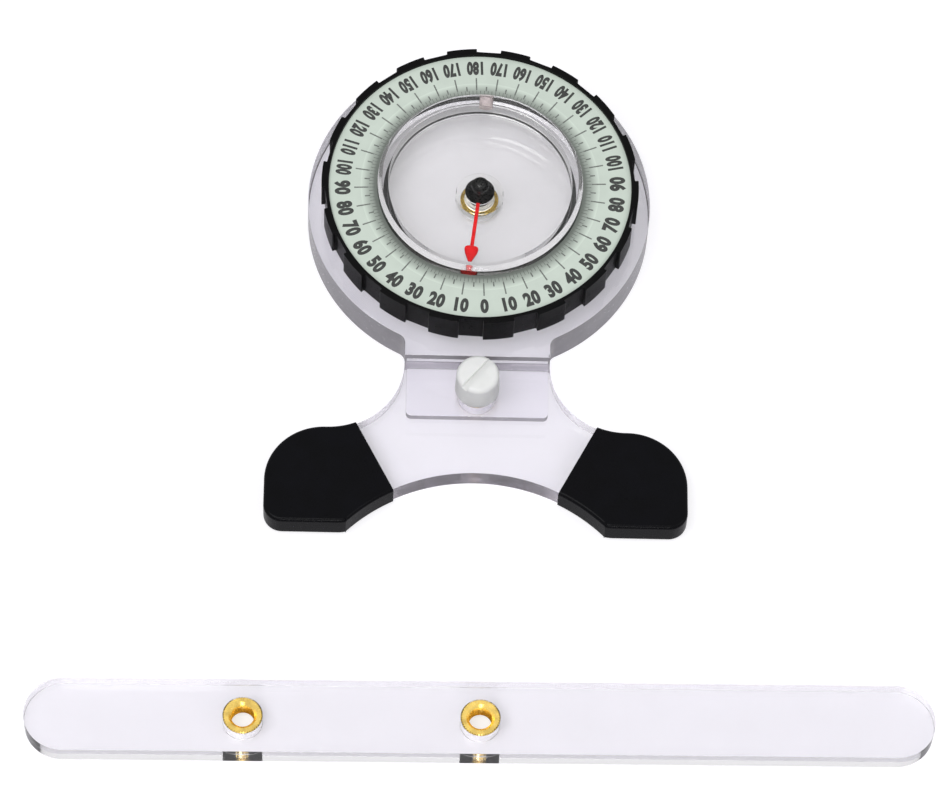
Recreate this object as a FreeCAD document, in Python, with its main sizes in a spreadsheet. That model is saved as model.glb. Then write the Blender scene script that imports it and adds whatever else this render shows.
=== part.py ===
# Inclinometer: a clear head with a turning dial, a gravity needle in a sealed capsule, a foot
# plate that stands the tool on a curved surface, and a straight bar that can take its place.
#
# Millimetres. It lies on its back as it is stored: +Z points out of the dial, -Y from the dial
# to the feet, +X to the right. The origin is on the dial's axis, in the plane that it lies on.

import FreeCAD, Part
import math
import os

import Sketcher
from FreeCAD import Vector

doc = FreeCAD.newDocument("Inclinometer")

# Driving sizes, each written once. Angles are in degrees, from above, counter-clockwise.
driving = {
    # clear head
    "head_radius": "32.5",
    "head_thick": "7.8",
    "neck_half_width": "13.6",
    "neck_reach": "0.8",
    "neck_fillet": "2.0",
    "tongue_half_width": "13.25",
    "tongue_length": "12.0",
    "tongue_thick": "1.5",
    "tongue_corner": "1.0",
    "head_chamfer": "0.35",
    "socket_floor": "0.9",
    # brass inserts
    "insert_radius": "3.6",
    "insert_bore": "2.1",
    "head_insert_length": "3.6",
    "insert_proud": "0.15",
    # foot plate and its boots
    "plate_thick": "4.3",
    "waist_radius": "14.3",
    "shoulder_radius": "11.1",
    "shoulder_flat": "0.25",
    "side_flat": "5.3",
    "heel_radius": "3.5",
    "arch_rise": "10.8",
    "arch_radius": "33.6",
    "boot_skin": "0.45",
    "boot_wall": "0.4",
    "boot_waist_cover": "5.3",
    "boot_arch_cover": "8.9",
    "boot_bevel": "0.5",
    "screw_offset": "6.0",
    # clamp screw
    "screw_head_radius": "4.15",
    "screw_head_height": "6.0",
    "screw_head_bevel": "0.6",
    "screw_slot_width": "1.3",
    "screw_slot_depth": "1.6",
    "screw_slot_angle": "50",
    "screw_tip_gap": "0.4",
    "screw_hole_clearance": "0.55",
    # straight bar
    "bar_length": "165.1",
    "bar_width": "14.3",
    "bar_across": "1.26",
    "bar_gap": "31.42",
    "bar_turn": "0.65",
    "bar_insert_offset": "43",
    # bezel and dial
    "dial_turn": "2.28",
    "bezel_lift": "0.2",
    "bezel_rim": "1.4",
    "bezel_height": "6.6",
    "bezel_gaps": "18",
    "gap_width": "4.6",
    "gap_depth": "0.75",
    "gap_angle": "5",
    "rim_height": "0.7",
    "card_radius": "28.6",
    "card_thick": "0.5",
    "recess_inner_wall": "1.57",
    "recess_outer_wall": "1.85",
    "recess_roof": "2.0",
    "recess_count": "9",
    "rib_angle": "3",
    # capsule
    "capsule_radius": "19.4",
    "capsule_height": "8.1",
    "capsule_wall": "2.0",
    "lens_thick": "1.4",
    "rim_chamfer": "0.8",
    "flange_width": "1.6",
    "flange_thick": "1.2",
    "floor_thick": "0.8",
    "boss_ledge": "0.9",
    "plug_radius": "1.3",
    "plug_height": "4.2",
    "plug_turn": "-5.4",
    "washer_thick": "0.5",
    "washer_inset": "0.25",
    # spindle, seal and pivot
    "spindle_head_radius": "2.6",
    "spindle_head_thick": "0.6",
    "spindle_tip_gap": "0.3",
    "seal_width": "0.6",
    "seal_thick": "0.9",
    "pin_radius": "0.35",
    "pin_depth": "1.4",
    "pin_point": "0.35",
    # needle
    "needle_turn": "-6.65",
    "hub_gap": "0.2",
    "hub_radius": "2.8",
    "hub_disc": "0.9",
    "hub_shoulder": "1.0",
    "hub_boss_radius": "1.5",
    "hub_height": "3.6",
    "hub_cap": "0.5",
    "jewel_radius": "0.8",
    "jewel_height": "1.3",
    "jewel_cap": "0.25",
    "shaft_width": "0.7",
    "shaft_thick": "0.4",
    "shaft_root": "1.7",
    "shaft_lift": "0.3",
    "arrow_gap": "1.8",
    "arrow_length": "3.5",
    "arrow_half_width": "1.35",
    "arrow_thick": "1.0",
    # clearances
    "press_clearance": "0.03",
    "running_clearance": "0.05",
    "overrun": "1",
}

sheet = doc.addObject("Spreadsheet::Sheet", "Sizes")
for row, (alias, number) in enumerate(driving.items(), start=1):
    sheet.set(f"A{row}", alias)
    sheet.set(f"B{row}", number)
    sheet.setAlias(f"B{row}", alias)
doc.recompute()


# A size is a formula on the sheet together with its value, so that plain arithmetic on sizes
# gives both the expression that drives an object and the place where its sketch starts from.
class Size:
    def __init__(self, formula, value):
        self.formula = formula
        self.value = value

    def joined(self, sign, other, value):
        return Size(f"({self.formula} {sign} {textOf(other)})", value)

    def __add__(self, other):
        return self.joined("+", other, self.value + valueOf(other))

    def __sub__(self, other):
        return self.joined("-", other, self.value - valueOf(other))

    def __mul__(self, other):
        return self.joined("*", other, self.value * valueOf(other))

    def __truediv__(self, other):
        return self.joined("/", other, self.value / valueOf(other))

    def __neg__(self):
        return Size(f"(0 - {self.formula})", -self.value)


def textOf(size):
    return size.formula if isinstance(size, Size) else repr(size)


def valueOf(size):
    return size.value if isinstance(size, Size) else size


def root(size):
    return Size(f"sqrt({size.formula})", math.sqrt(size.value))


def cosine(angle):
    return Size(f"cos({angle.formula})", math.cos(math.radians(angle.value)))


def sine(angle):
    return Size(f"sin({angle.formula})", math.sin(math.radians(angle.value)))


def larger(first, second):
    return Size(f"max({first.formula}; {second.formula})", max(first.value, second.value))


# The sheet's cells by name, as sizes.
class Named:
    def __getattr__(self, alias):
        return Size(f"Sizes.{alias}", float(sheet.get(alias)))


mm = Named()

# Heights above the resting plane that more than one piece shares.
bezel_bottom = mm.head_thick + mm.bezel_lift
card_top = bezel_bottom + mm.bezel_height - mm.rim_height
capsule_top = bezel_bottom + mm.capsule_height
floor_top = bezel_bottom + mm.floor_thick
plate_bottom = mm.boot_skin
plate_top = plate_bottom + mm.plate_thick
tongue_top = plate_top + mm.tongue_thick
insert_top = mm.socket_floor + mm.head_insert_length
washer_top = insert_top + mm.washer_thick
hub_bottom = floor_top + mm.hub_gap
hub_top = hub_bottom + mm.hub_height

# Radii that more than one piece shares.
insert_hole = mm.insert_radius + mm.press_clearance
boss_hole = insert_hole + mm.boss_ledge
capsule_hole = mm.capsule_radius + mm.press_clearance
cavity_radius = mm.capsule_radius - mm.capsule_wall
flange_radius = mm.capsule_radius + mm.flange_width
flange_hole = flange_radius + mm.press_clearance
bezel_radius = mm.card_radius + mm.bezel_rim
spindle_radius = mm.insert_bore - mm.press_clearance
spindle_hole = spindle_radius + mm.running_clearance
shank_radius = mm.insert_bore - mm.running_clearance

# Distances from the dial's axis towards the feet. The neck starts clear of head and bezel alike.
neck_front = larger(mm.head_radius, bezel_radius) + mm.neck_reach
screw_distance = neck_front + mm.screw_offset
foot_top = neck_front + mm.waist_radius - mm.boot_wall
side_top = foot_top + mm.shoulder_radius
side_low = side_top + mm.side_flat
foot_bottom = side_low + mm.heel_radius
bar_distance = foot_bottom + mm.bar_gap + mm.bar_width / 2
half_turn = Size("180", 180)

nodes = []


def newBody(label):
    body = doc.addObject("PartDesign::Body", label)
    body.Label = label
    nodes.append(body)
    return body


def moveTo(thing, x=0, y=0, z=0, turn=None):
    for axis, size in (("x", x), ("y", y), ("z", z)):
        if isinstance(size, Size):
            thing.setExpression(f"Placement.Base.{axis}", size.formula)
    if turn is not None:
        thing.setExpression("Placement.Rotation.Angle", turn.formula)


def newSketch(body, role, name, lift=None):
    plane = next(p for p in body.Origin.OriginFeatures if p.Role == role)
    sketch = body.newObject("Sketcher::SketchObject", name)
    sketch.AttachmentSupport = [(plane, "")]
    sketch.MapMode = "FlatFace"
    if lift is not None:
        sketch.setExpression("AttachmentOffset.Base.z", lift.formula)
    return sketch


# Ties one coordinate of a sketch point to a size, or to the sketch's axis where it is zero.
def placePoint(sketch, curve, end, kind, size):
    if not isinstance(size, Size):
        axis = -2 if kind == "DistanceX" else -1
        sketch.addConstraint(Sketcher.Constraint("PointOnObject", curve, end, axis))
        return
    index = sketch.addConstraint(Sketcher.Constraint(kind, -1, 1, curve, end, size.value))
    name = f"{kind}{index}"
    sketch.renameConstraint(index, name)
    sketch.setExpression(f"Constraints.{name}", size.formula)


def tieRadius(sketch, curve, radius):
    index = sketch.addConstraint(Sketcher.Constraint("Radius", curve, radius.value))
    sketch.renameConstraint(index, f"Radius{index}")
    sketch.setExpression(f"Constraints.Radius{index}", radius.formula)


# The centre of the arc under half a turn from one point to the next, on its left or its right.
def arcCentre(start, end, radius, leftwards):
    chord = end - start
    reach = math.sqrt(max(radius**2 - chord.Length**2 / 4, 0))
    aside = Vector(-chord.y, chord.x, 0).normalize() * reach
    middle = (start + end) / 2
    return middle + aside if leftwards else middle - aside


# Draws a closed outline. Each corner is (x, y), and the edge that leads to it is straight, or
# (x, y, radius, "left" or "right"), and the edge is an arc that turns to that side.
def drawOutline(sketch, corners):
    places = [Vector(valueOf(c[0]), valueOf(c[1]), 0) for c in corners]
    edges = []
    for number, corner in enumerate(corners):
        start = places[number - 1]
        end = places[number]
        if len(corner) == 2:
            curve = sketch.addGeometry(Part.LineSegment(start, end))
            edges.append((curve, 1, 2))
            continue
        leftwards = corner[3] == "left"
        radius = corner[2].value
        centre = arcCentre(start, end, radius, leftwards)
        first, last = (start, end) if leftwards else (end, start)
        angles = [math.atan2(p.y - centre.y, p.x - centre.x) for p in (first, last)]
        circle = Part.Circle(centre, Vector(0, 0, 1), radius)
        curve = sketch.addGeometry(Part.ArcOfCircle(circle, angles[0], angles[1]))
        edges.append((curve, 1, 2) if leftwards else (curve, 2, 1))
    for number, (curve, first, last) in enumerate(edges):
        following = edges[(number + 1) % len(edges)]
        sketch.addConstraint(Sketcher.Constraint("Coincident", curve, last, following[0], following[1]))
        placePoint(sketch, curve, last, "DistanceX", corners[number][0])
        placePoint(sketch, curve, last, "DistanceY", corners[number][1])
        if len(corners[number]) > 2:
            tieRadius(sketch, curve, corners[number][2])


def drawCircle(sketch, x, y, radius):
    centre = Vector(valueOf(x), valueOf(y), 0)
    curve = sketch.addGeometry(Part.Circle(centre, Vector(0, 0, 1), radius.value))
    placePoint(sketch, curve, 3, "DistanceX", x)
    placePoint(sketch, curve, 3, "DistanceY", y)
    tieRadius(sketch, curve, radius)


def pad(body, sketch, height, name="Pad"):
    feature = body.newObject("PartDesign::Pad", name)
    feature.Profile = sketch
    feature.setExpression("Length", height.formula)
    sketch.Visibility = False
    return feature


# Cuts a sketch into its body, upwards from the sketch's plane.
def pocketUp(body, sketch, depth, name="Pocket"):
    feature = body.newObject("PartDesign::Pocket", name)
    feature.Profile = sketch
    feature.setExpression("Length", depth.formula)
    feature.Reversed = True
    return feature


# Turns a profile of (radius, height) corners about the body's own Z axis.
def turned(label, corners, name="Turning"):
    body = newBody(label)
    sketch = newSketch(body, "XZ_Plane", f"{name}Profile")
    drawOutline(sketch, corners)
    feature = body.newObject("PartDesign::Revolution", name)
    feature.Profile = sketch
    feature.ReferenceAxis = (sketch, ["V_Axis"])
    feature.Angle = 360
    return body


# Repeats a feature evenly about the body's Z axis.
def patterned(body, feature, count, name):
    axis = next(a for a in body.Origin.OriginFeatures if a.Role == "Z_Axis")
    pattern = body.newObject("PartDesign::PolarPattern", name)
    pattern.Originals = [feature]
    pattern.Axis = (axis, [""])
    pattern.Angle = 360
    pattern.setExpression("Occurrences", count.formula)
    body.Tip = pattern
    return pattern


# Chamfers or fillets the edges of a feature that pass a test.
def eased(body, kind, feature, size, test, name):
    doc.recompute()
    names = [f"Edge{i}" for i, edge in enumerate(feature.Shape.Edges, start=1) if test(edge)]
    easing = body.newObject(f"PartDesign::{kind}", name)
    easing.Base = (feature, names)
    easing.setExpression("Radius" if kind == "Fillet" else "Size", size.formula)
    return easing


# True for an edge that lies flat at one of the given heights of its own body.
def flatAt(edge, *heights):
    box = edge.BoundBox
    near = mm.running_clearance.value
    return box.ZLength < near and any(abs(box.ZMin - h) < near for h in heights)


# The clear head: a round disc with a square neck, whose front steps down to a thin tongue that
# lies on the foot plate. A stepped blind socket in its centre takes the insert and, above it, the
# capsule's boss.
def makeHead():
    body = newBody("head_body")
    width = mm.neck_half_width
    meeting = root(mm.head_radius * mm.head_radius - width * width)
    outline = newSketch(body, "XY_Plane", "HeadOutline")
    drawOutline(outline, [
        (-width, -neck_front),
        (width, -neck_front),
        (width, -meeting),
        (0, mm.head_radius, mm.head_radius, "left"),
        (-width, -meeting, mm.head_radius, "left"),
    ])
    disc = pad(body, outline, mm.head_thick, "Disc")
    root_y = -neck_front + mm.overrun
    reach = neck_front + mm.tongue_length
    half = mm.tongue_half_width
    corner = mm.tongue_corner
    tongue = newSketch(body, "XY_Plane", "TongueOutline", plate_top)
    drawOutline(tongue, [
        (-half, root_y),
        (-half, -reach + corner),
        (-half + corner, -reach, corner, "left"),
        (half - corner, -reach),
        (half, -reach + corner, corner, "left"),
        (half, root_y),
    ])
    pad(body, tongue, mm.tongue_thick, "Tongue")
    socket = newSketch(body, "XY_Plane", "SocketCircle", mm.socket_floor)
    drawCircle(socket, 0, 0, insert_hole)
    pocketUp(body, socket, mm.head_thick, "Socket")
    seat = newSketch(body, "XY_Plane", "BossSeatCircle", insert_top)
    drawCircle(seat, 0, 0, boss_hole)
    pocketUp(body, seat, mm.head_thick, "BossSeat")
    hole = newSketch(body, "XY_Plane", "ScrewHoleCircle")
    drawCircle(hole, 0, -screw_distance, mm.insert_bore + mm.screw_hole_clearance)
    drilled = pocketUp(body, hole, tongue_top + mm.overrun, "ScrewHole")

    def isNeckCorner(edge):
        box = edge.BoundBox
        across = abs(abs(box.Center.x) - mm.neck_half_width.value)
        along = abs(box.Center.y + meeting.value)
        near = mm.running_clearance.value
        return box.ZLength > mm.head_thick.value / 2 and across < near and along < near

    rounded = eased(body, "Fillet", drilled, mm.neck_fillet, isNeckCorner, "NeckFillet")

    def isRim(edge):
        return flatAt(edge, mm.head_thick.value) and edge.Length > mm.head_radius.value

    eased(body, "Chamfer", rounded, mm.head_chamfer, isRim, "RimChamfer")


# A brass insert, left a plain tube.
def makeInsert(label, length):
    outer = mm.insert_radius
    return turned(label, [
        (mm.insert_bore, 0),
        (outer, 0),
        (outer, length),
        (mm.insert_bore, length),
    ])


# The corners of the right foot from the top of the concave waist round to the arch: of the
# boot's outer wall with no inset, or of the bare plate inside it, inset by that wall.
def footCorners(inset):
    centre_x = mm.neck_half_width + mm.waist_radius
    side = centre_x + mm.shoulder_flat + mm.shoulder_radius - inset
    bottom = foot_bottom - inset
    heel = mm.heel_radius - inset
    arch = mm.arch_radius - mm.boot_wall + inset
    arch_centre = foot_bottom - mm.arch_rise + mm.arch_radius
    toe_x = root(arch * arch - (arch_centre - bottom) * (arch_centre - bottom))
    top = -(foot_top + inset)
    return {
        "waist": mm.waist_radius - mm.boot_wall + inset,
        "waist_centre_x": centre_x,
        "waist_low": (centre_x, top),
        "shoulder": mm.shoulder_radius - inset,
        "shoulder_top": (centre_x + mm.shoulder_flat, top),
        "side_top": (side, -side_top),
        "side_low": (side, -side_low),
        "heel": heel,
        "heel_low": (side - heel, -bottom),
        "toe": (toe_x, -bottom),
        "arch": arch,
        "arch_centre": arch_centre,
    }


# The clear plate: a neck that butts the head, two concave sides, and two feet with an arch between.
def makeFootPlate():
    body = newBody("foot_plate")
    f = footCorners(mm.boot_wall)

    def mirrored(corner):
        return (-corner[0], corner[1])

    outline = newSketch(body, "XY_Plane", "PlateOutline")
    drawOutline(outline, [
        (mm.neck_half_width, -neck_front, f["waist"], "right"),
        (-mm.neck_half_width, -neck_front),
        (*mirrored(f["waist_low"]), f["waist"], "right"),
        mirrored(f["shoulder_top"]),
        (*mirrored(f["side_top"]), f["shoulder"], "left"),
        mirrored(f["side_low"]),
        (*mirrored(f["heel_low"]), f["heel"], "left"),
        mirrored(f["toe"]),
        (*f["toe"], f["arch"], "right"),
        f["heel_low"],
        (*f["side_low"], f["heel"], "left"),
        f["side_top"],
        (*f["shoulder_top"], f["shoulder"], "left"),
        f["waist_low"],
    ])
    pad(body, outline, mm.plate_thick, "Plate")
    hole = newSketch(body, "XY_Plane", "InsertHoleCircle")
    drawCircle(hole, 0, -screw_distance, insert_hole)
    pocketUp(body, hole, mm.plate_thick + mm.overrun, "InsertHole")
    moveTo(body, z=plate_bottom)
    return body


# A dipped boot: a block with its top edge broken that covers the foot's end by a coat all round, less
# the plate itself. The left boot is its mirror image.
def makeBoots(plate):
    block = doc.addObject("PartDesign::Body", "BootBlock")
    f = footCorners(0)
    aside = mm.boot_waist_cover
    drop = root(f["waist"] * f["waist"] - aside * aside)
    mouth_top = f["waist_centre_x"] - aside
    mouth_low = f["toe"][0] - mm.boot_arch_cover
    rise = root(f["arch"] * f["arch"] - mouth_low * mouth_low)
    outline = newSketch(block, "XY_Plane", "BootOutline")
    drawOutline(outline, [
        (*f["toe"], f["arch"], "right"),
        f["heel_low"],
        (*f["side_low"], f["heel"], "left"),
        f["side_top"],
        (*f["shoulder_top"], f["shoulder"], "left"),
        f["waist_low"],
        (mouth_top, -(neck_front + drop), f["waist"], "right"),
        (mouth_low, -(f["arch_centre"] - rise)),
    ])
    height = mm.boot_skin * 2 + mm.plate_thick
    raw = pad(block, outline, height, "BootPad")

    def isOutside(edge):
        line = edge.Curve.TypeId == "Part::GeomLine"
        box = edge.BoundBox
        mouth = line and box.XLength > mm.heel_radius.value and box.YLength > mm.heel_radius.value
        return flatAt(edge, height.value) and not mouth

    eased(block, "Chamfer", raw, mm.boot_bevel, isOutside, "BrokenEdge")
    right = doc.addObject("Part::Cut", "right_boot")
    right.Label = "right_boot"
    right.Base = block
    right.Tool = plate
    left = doc.addObject("Part::Mirroring", "left_boot")
    left.Label = "left_boot"
    left.Source = right
    left.Normal = Vector(1, 0, 0)
    nodes.extend([right, left])


# A tall slotted nylon screw: its shank runs through the tongue into the foot plate's insert.
def makeClampScrew():
    shank = tongue_top - plate_bottom - mm.screw_tip_gap
    top = mm.screw_head_radius
    body = turned("clamp_screw", [
        (0, -shank),
        (shank_radius, -shank),
        (shank_radius, 0),
        (mm.screw_head_radius, 0),
        (top, mm.screw_head_height - mm.screw_head_bevel),
        (top - mm.screw_head_bevel, mm.screw_head_height),
        (0, mm.screw_head_height),
    ])
    reach = mm.screw_head_radius + mm.overrun
    half = mm.screw_slot_width / 2
    slot = newSketch(body, "XY_Plane", "SlotOutline", mm.screw_head_height - mm.screw_slot_depth)
    drawOutline(slot, [(-reach, -half), (reach, -half), (reach, half), (-reach, half)])
    pocketUp(body, slot, mm.screw_slot_depth + mm.overrun, "Slot")
    moveTo(body, y=-screw_distance, z=tongue_top, turn=mm.screw_slot_angle)


# The black bezel: a ring with finger gaps round its rim, a ledge for the dial card, a seat for
# the capsule's flange and, on its hidden side, moulded cells between ribs.
def makeBezel():
    hole = flange_hole
    ledge = mm.bezel_height - mm.rim_height - mm.card_thick
    pocket = mm.card_radius + mm.press_clearance
    outer = bezel_radius
    body = turned("bezel_ring", [
        (hole, 0),
        (outer, 0),
        (outer, mm.bezel_height),
        (pocket, mm.bezel_height),
        (pocket, ledge),
        (capsule_hole, ledge),
        (capsule_hole, mm.flange_thick),
        (hole, mm.flange_thick),
    ])
    half = mm.gap_width / 2
    floor = outer - mm.gap_depth
    gap = newSketch(body, "XY_Plane", "GapOutline")
    drawOutline(gap, [
        (floor, -half),
        (outer + mm.overrun, -half),
        (outer + mm.overrun, half),
        (floor, half),
    ])
    patterned(body, pocketUp(body, gap, mm.bezel_height + mm.overrun, "Gap"), mm.bezel_gaps, "Gaps")
    half_cell = half_turn / mm.recess_count - mm.rib_angle / 2
    across = cosine(half_cell)
    up = sine(half_cell)
    inner = hole + mm.recess_inner_wall
    rim = floor - mm.recess_outer_wall
    cell = newSketch(body, "XY_Plane", "CellOutline")
    drawOutline(cell, [
        (inner * across, -(inner * up), inner, "right"),
        (rim * across, -(rim * up)),
        (rim * across, rim * up, rim, "left"),
        (inner * across, inner * up),
    ])
    hollow = pocketUp(body, cell, ledge - mm.recess_roof, "Cell")
    patterned(body, hollow, mm.recess_count, "Cells")
    moveTo(body, z=bezel_bottom, turn=mm.dial_turn + mm.gap_angle)


# The capsule's clear cover: lens and wall in one, with a flange that the bezel sits on, open
# below where the floor is bonded in. A radial hole in the wall takes the plug.
def makeCapsuleCover():
    height = mm.capsule_height
    body = turned("capsule_cover", [
        (flange_radius, 0),
        (flange_radius, mm.flange_thick),
        (mm.capsule_radius, mm.flange_thick),
        (mm.capsule_radius, height - mm.rim_chamfer),
        (mm.capsule_radius - mm.rim_chamfer, height),
        (0, height),
        (0, height - mm.lens_thick),
        (cavity_radius, height - mm.lens_thick),
        (cavity_radius, 0),
    ])
    hole = newSketch(body, "XZ_Plane", "PlugHoleCircle")
    drawCircle(hole, 0, mm.plug_height, mm.plug_radius + mm.press_clearance)
    pocket = body.newObject("PartDesign::Pocket", "PlugHole")
    pocket.Profile = hole
    pocket.setExpression("Length", (mm.capsule_radius + mm.overrun).formula)
    moveTo(body, z=bezel_bottom, turn=mm.dial_turn + mm.plug_turn)


def makeFillPlug():
    body = newBody("fill_plug")
    circle = newSketch(body, "XZ_Plane", "PlugCircle", -cavity_radius)
    drawCircle(circle, 0, mm.plug_height, mm.plug_radius)
    plug = pad(body, circle, mm.capsule_wall - mm.running_clearance, "Plug")
    plug.Reversed = True
    moveTo(body, z=bezel_bottom, turn=mm.dial_turn + mm.plug_turn)


# The capsule's clear floor, with a boss below it that turns in the head's socket. The spindle
# passes through its bore, and a counterbore under the boss holds the seal.
def makeCapsuleFloor():
    boss = boss_hole - mm.running_clearance
    boss_low = washer_top - bezel_bottom
    seal_hole = spindle_hole + mm.seal_width + mm.press_clearance
    seal_roof = boss_low + mm.seal_thick + mm.press_clearance
    seat = mm.floor_thick - mm.spindle_head_thick
    rim = cavity_radius - mm.press_clearance
    head_hole = mm.spindle_head_radius + mm.running_clearance
    body = turned("capsule_floor", [
        (seal_hole, boss_low),
        (boss, boss_low),
        (boss, 0),
        (rim, 0),
        (rim, mm.floor_thick),
        (head_hole, mm.floor_thick),
        (head_hole, seat),
        (spindle_hole, seat),
        (spindle_hole, seal_roof),
        (seal_hole, seal_roof),
    ])
    moveTo(body, z=bezel_bottom)


# A plain turned ring, such as a washer, with its bottom face at a height.
def makeRing(label, bore, outer, thick, height):
    body = turned(label, [(bore, 0), (outer, 0), (outer, thick), (bore, thick)])
    moveTo(body, z=height)
    return body


# The black spindle: screwed into the head's insert, it holds the capsule down by its flat head
# and carries the needle's pivot pin.
def makeSpindle():
    tip = mm.socket_floor + mm.spindle_tip_gap
    seat = floor_top - mm.spindle_head_thick
    pin_hole = mm.pin_radius + mm.press_clearance
    turned("spindle", [
        (0, tip),
        (spindle_radius, tip),
        (spindle_radius, seat),
        (mm.spindle_head_radius, seat),
        (mm.spindle_head_radius, floor_top),
        (pin_hole, floor_top),
        (pin_hole, floor_top - mm.pin_depth),
        (0, floor_top - mm.pin_depth),
    ])
    low = floor_top - mm.pin_depth
    top = hub_top - mm.hub_cap - mm.jewel_cap - mm.running_clearance
    turned("pivot_pin", [
        (0, low),
        (mm.pin_radius, low),
        (mm.pin_radius, top - mm.pin_point),
        (0, top),
    ])


# The black hub that rides on the pin: a disc, a sloped shoulder and a boss, bored from below for
# the jewel, with a slot for the root of the needle's shaft.
def makeHub():
    bore = mm.jewel_radius + mm.press_clearance
    top = mm.hub_height
    boss = mm.hub_boss_radius
    body = turned("needle_hub", [
        (bore, 0),
        (mm.hub_radius, 0),
        (mm.hub_radius, mm.hub_disc),
        (boss, mm.hub_disc + mm.hub_shoulder),
        (boss, top),
        (0, top),
        (0, top - mm.hub_cap),
        (bore, top - mm.hub_cap),
    ])
    half = mm.shaft_width / 2 + mm.press_clearance
    slot = newSketch(body, "XY_Plane", "ShaftSlotOutline", mm.shaft_lift)
    drawOutline(slot, [
        (-half, -(mm.hub_radius + mm.overrun)),
        (half, -(mm.hub_radius + mm.overrun)),
        (half, -mm.shaft_root),
        (-half, -mm.shaft_root),
    ])
    pocketUp(body, slot, mm.shaft_thick + mm.press_clearance * 2, "ShaftSlot")
    moveTo(body, z=hub_bottom, turn=mm.needle_turn)
    jewel = turned("pivot_jewel", [
        (mm.pin_radius + mm.running_clearance, 0),
        (mm.jewel_radius, 0),
        (mm.jewel_radius, mm.jewel_height),
        (0, mm.jewel_height),
        (0, mm.jewel_height - mm.jewel_cap),
        (mm.pin_radius + mm.running_clearance, mm.jewel_height - mm.jewel_cap),
    ])
    moveTo(jewel, z=hub_top - mm.hub_cap - mm.jewel_height)


# The needle's thin shaft, and the heavy arrowhead on its end that gravity pulls down.
def makeNeedle():
    shaft_low = hub_bottom + mm.shaft_lift + mm.press_clearance
    arrow_start = cavity_radius - mm.arrow_gap - mm.arrow_length
    half = mm.shaft_width / 2
    shaft = newBody("needle_shaft")
    outline = newSketch(shaft, "XY_Plane", "ShaftOutline")
    drawOutline(outline, [
        (-half, -arrow_start),
        (half, -arrow_start),
        (half, -(mm.shaft_root + mm.press_clearance)),
        (-half, -(mm.shaft_root + mm.press_clearance)),
    ])
    pad(shaft, outline, mm.shaft_thick, "Shaft")
    moveTo(shaft, z=shaft_low, turn=mm.needle_turn)
    # along the arrow from its tail, and half its width there
    arrow_shares = [(0, 0.35), (0.06, 0.85), (0.2, 1), (0.45, 0.84), (0.8, 0.42), (1, 0.2)]
    right_side = [
        (mm.arrow_half_width * wide, -(arrow_start + mm.arrow_length * along))
        for along, wide in arrow_shares
    ]
    left_side = [(-x, y) for x, y in reversed(right_side)]
    arrow = newBody("arrow_weight")
    outline = newSketch(arrow, "XY_Plane", "ArrowOutline")
    drawOutline(outline, left_side + right_side)
    pad(arrow, outline, mm.arrow_thick, "Arrow")
    middle = shaft_low + mm.shaft_thick / 2
    moveTo(arrow, z=middle - mm.arrow_thick / 2, turn=mm.needle_turn)


# The straight clear bar with round ends, and its two inserts, which take the same clamp screw.
def makeBar():
    body = newBody("straight_bar")
    end = mm.bar_width / 2
    half = mm.bar_length / 2
    outline = newSketch(body, "XY_Plane", "BarOutline")
    drawOutline(outline, [
        (-half + end, -end, end, "left"),
        (half - end, -end),
        (half, 0, end, "left"),
        (half - end, end, end, "left"),
        (-half + end, end),
        (-half, 0, end, "left"),
    ])
    pad(body, outline, mm.plate_thick, "Bar")
    holes = newSketch(body, "XY_Plane", "InsertHoleCircles")
    drawCircle(holes, 0, 0, insert_hole)
    drawCircle(holes, -mm.bar_insert_offset, 0, insert_hole)
    pocketUp(body, holes, mm.plate_thick + mm.overrun, "InsertHoles")
    moveTo(body, x=mm.bar_across, y=-bar_distance, turn=mm.bar_turn)
    middle = makeInsert("bar_middle_insert", mm.plate_thick)
    moveTo(middle, x=mm.bar_across, y=-bar_distance, z=mm.insert_proud)
    aside = makeInsert("bar_side_insert", mm.plate_thick)
    left = mm.bar_across - mm.bar_insert_offset * cosine(mm.bar_turn)
    lower = -(bar_distance + mm.bar_insert_offset * sine(mm.bar_turn))
    moveTo(aside, x=left, y=lower, z=mm.insert_proud)


makeHead()
moveTo(makeInsert("head_insert", mm.head_insert_length), z=mm.socket_floor)
makeBoots(makeFootPlate())
moveTo(makeInsert("foot_insert", mm.plate_thick), y=-screw_distance, z=plate_bottom)
makeClampScrew()
makeBezel()
card_bottom = card_top - mm.card_thick
makeRing("dial_card", capsule_hole, mm.card_radius, mm.card_thick, card_bottom)
makeCapsuleCover()
makeFillPlug()
makeCapsuleFloor()
# the washer between the insert and the boss takes the rub of the turning dial
washer_radius = mm.insert_radius - mm.washer_inset
makeRing("thrust_washer", mm.insert_bore, washer_radius, mm.washer_thick, insert_top)
seal_radius = spindle_hole + mm.seal_width
makeRing("spindle_seal", spindle_hole, seal_radius, mm.seal_thick, washer_top)
makeSpindle()
makeHub()
makeNeedle()
makeBar()
doc.recompute()

for thing in doc.Objects:
    if "Invalid" in thing.State or "Error" in thing.State:
        raise RuntimeError(f"{thing.Name} ({thing.Label}) failed: {thing.State}")
for node in nodes:
    if node.Shape.isNull() or not node.Shape.isValid() or not node.Shape.Solids:
        raise RuntimeError(f"{node.Label} has no valid solid")

os.makedirs("parts", exist_ok=True)
for node in nodes:
    node.Shape.exportStep(f"parts/{node.Label}.step")
    box = node.Shape.BoundBox
    print(f"{node.Label:18} {node.Shape.Volume:10.2f} mm3  z {box.ZMin:6.2f} to {box.ZMax:6.2f}")
print(f"{len(nodes)} sub-parts")
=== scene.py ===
import math

import bmesh
import bpy
from mathutils import Matrix, Vector


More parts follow.
